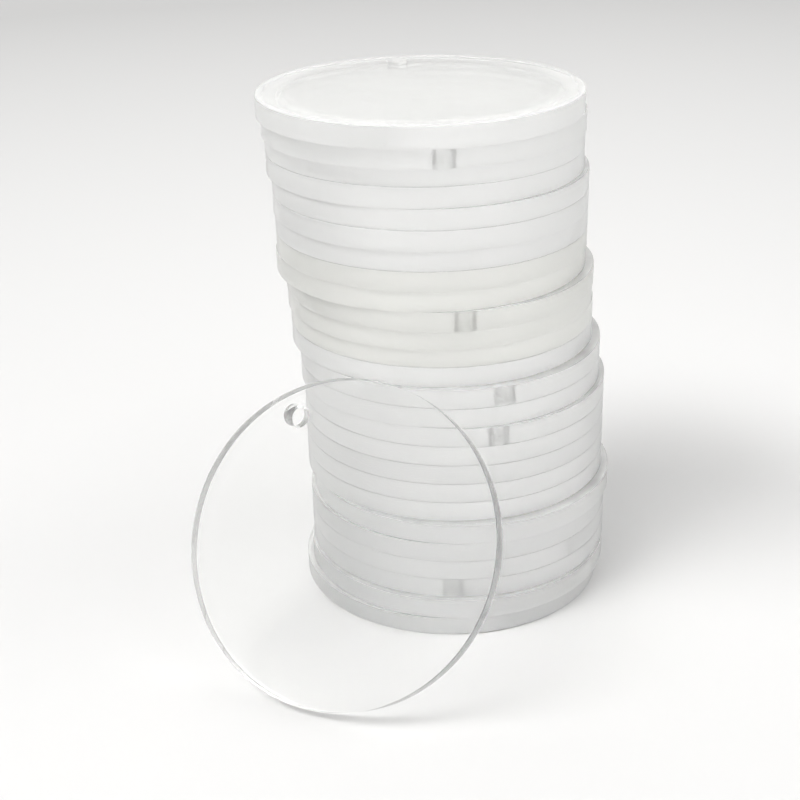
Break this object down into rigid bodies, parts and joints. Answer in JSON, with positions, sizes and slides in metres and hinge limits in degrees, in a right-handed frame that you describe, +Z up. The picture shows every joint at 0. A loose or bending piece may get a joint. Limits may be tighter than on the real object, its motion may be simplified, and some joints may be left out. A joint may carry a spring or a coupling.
{
  "type": "clear acrylic disc stack",
  "caption": "Slightly crooked stack of flat clear acrylic discs, each with one small hanging hole near its rim, and one more disc leaning on the front of the stack.",
  "frame": {"origin": "on the floor, under the middle of the whole group's bounding box", "axes": "+Z up along the stack, +X to the right, +Y to the back; the extra disc leans on the front, at -Y and a little to -X"},
  "size_m": [0.0696, 0.0806, 0.085],
  "materials": {
    "clear_acrylic": "clear cast acrylic, polished faces, laser-cut glossy edge"
  },
  "bodies": {
    "disc_01": {"disc_01": "clear_acrylic"},
    "disc_02": {"disc_02": "clear_acrylic"},
    "disc_03": {"disc_03": "clear_acrylic"},
    "disc_04": {"disc_04": "clear_acrylic"},
    "disc_05": {"disc_05": "clear_acrylic"},
    "disc_06": {"disc_06": "clear_acrylic"},
    "disc_07": {"disc_07": "clear_acrylic"},
    "disc_08": {"disc_08": "clear_acrylic"},
    "disc_09": {"disc_09": "clear_acrylic"},
    "disc_10": {"disc_10": "clear_acrylic"},
    "disc_11": {"disc_11": "clear_acrylic"},
    "disc_12": {"disc_12": "clear_acrylic"},
    "disc_13": {"disc_13": "clear_acrylic"},
    "disc_14": {"disc_14": "clear_acrylic"},
    "disc_15": {"disc_15": "clear_acrylic"},
    "disc_16": {"disc_16": "clear_acrylic"},
    "disc_17": {"disc_17": "clear_acrylic"},
    "disc_18": {"disc_18": "clear_acrylic"},
    "disc_19": {"disc_19": "clear_acrylic"},
    "disc_20": {"disc_20": "clear_acrylic"},
    "disc_21": {"disc_21": "clear_acrylic"},
    "disc_22": {"disc_22": "clear_acrylic"},
    "disc_23": {"disc_23": "clear_acrylic"},
    "disc_24": {"disc_24": "clear_acrylic"},
    "disc_25": {"disc_25": "clear_acrylic"},
    "disc_26": {"disc_26": "clear_acrylic"},
    "leaning_disc": {"leaning_disc": "clear_acrylic"}
  },
  "joints": [
    {"name": "disc_02_lift", "type": "slide", "parent": "disc_01", "child": "disc_02", "axis": [0, 0, 1], "range_m": [0, 0.012]},
    {"name": "disc_03_lift", "type": "slide", "parent": "disc_02", "child": "disc_03", "axis": [0, 0, 1], "range_m": [0, 0.012]},
    {"name": "disc_04_lift", "type": "slide", "parent": "disc_03", "child": "disc_04", "axis": [0, 0, 1], "range_m": [0, 0.012]},
    {"name": "disc_05_lift", "type": "slide", "parent": "disc_04", "child": "disc_05", "axis": [0, 0, 1], "range_m": [0, 0.012]},
    {"name": "disc_06_lift", "type": "slide", "parent": "disc_05", "child": "disc_06", "axis": [0, 0, 1], "range_m": [0, 0.012]},
    {"name": "disc_07_lift", "type": "slide", "parent": "disc_06", "child": "disc_07", "axis": [0, 0, 1], "range_m": [0, 0.012]},
    {"name": "disc_08_lift", "type": "slide", "parent": "disc_07", "child": "disc_08", "axis": [0, 0, 1], "range_m": [0, 0.012]},
    {"name": "disc_09_lift", "type": "slide", "parent": "disc_08", "child": "disc_09", "axis": [0, 0, 1], "range_m": [0, 0.012]},
    {"name": "disc_10_lift", "type": "slide", "parent": "disc_09", "child": "disc_10", "axis": [0, 0, 1], "range_m": [0, 0.012]},
    {"name": "disc_11_lift", "type": "slide", "parent": "disc_10", "child": "disc_11", "axis": [0, 0, 1], "range_m": [0, 0.012]},
    {"name": "disc_12_lift", "type": "slide", "parent": "disc_11", "child": "disc_12", "axis": [0, 0, 1], "range_m": [0, 0.012]},
    {"name": "disc_13_lift", "type": "slide", "parent": "disc_12", "child": "disc_13", "axis": [0, 0, 1], "range_m": [0, 0.012]},
    {"name": "disc_14_lift", "type": "slide", "parent": "disc_13", "child": "disc_14", "axis": [0, 0, 1], "range_m": [0, 0.012]},
    {"name": "disc_15_lift", "type": "slide", "parent": "disc_14", "child": "disc_15", "axis": [0, 0, 1], "range_m": [0, 0.012]},
    {"name": "disc_16_lift", "type": "slide", "parent": "disc_15", "child": "disc_16", "axis": [0, 0, 1], "range_m": [0, 0.012]},
    {"name": "disc_17_lift", "type": "slide", "parent": "disc_16", "child": "disc_17", "axis": [0, 0, 1], "range_m": [0, 0.012]},
    {"name": "disc_18_lift", "type": "slide", "parent": "disc_17", "child": "disc_18", "axis": [0, 0, 1], "range_m": [0, 0.012]},
    {"name": "disc_19_lift", "type": "slide", "parent": "disc_18", "child": "disc_19", "axis": [0, 0, 1], "range_m": [0, 0.012]},
    {"name": "disc_20_lift", "type": "slide", "parent": "disc_19", "child": "disc_20", "axis": [0, 0, 1], "range_m": [0, 0.012]},
    {"name": "disc_21_lift", "type": "slide", "parent": "disc_20", "child": "disc_21", "axis": [0, 0, 1], "range_m": [0, 0.012]},
    {"name": "disc_22_lift", "type": "slide", "parent": "disc_21", "child": "disc_22", "axis": [0, 0, 1], "range_m": [0, 0.012]},
    {"name": "disc_23_lift", "type": "slide", "parent": "disc_22", "child": "disc_23", "axis": [0, 0, 1], "range_m": [0, 0.012]},
    {"name": "disc_24_lift", "type": "slide", "parent": "disc_23", "child": "disc_24", "axis": [0, 0, 1], "range_m": [0, 0.012]},
    {"name": "disc_25_lift", "type": "slide", "parent": "disc_24", "child": "disc_25", "axis": [0, 0, 1], "range_m": [0, 0.012]},
    {"name": "disc_26_lift", "type": "slide", "parent": "disc_25", "child": "disc_26", "axis": [0, 0, 1], "range_m": [0, 0.012]},
    {"name": "leaning_disc_tip", "type": "hinge", "parent": "disc_01", "child": "leaning_disc", "pos_m": [-0.01711, -0.03586, 0.00068], "axis": [0.8988, -0.4384, 0], "range_deg": [0, 122.5]}
  ]
}
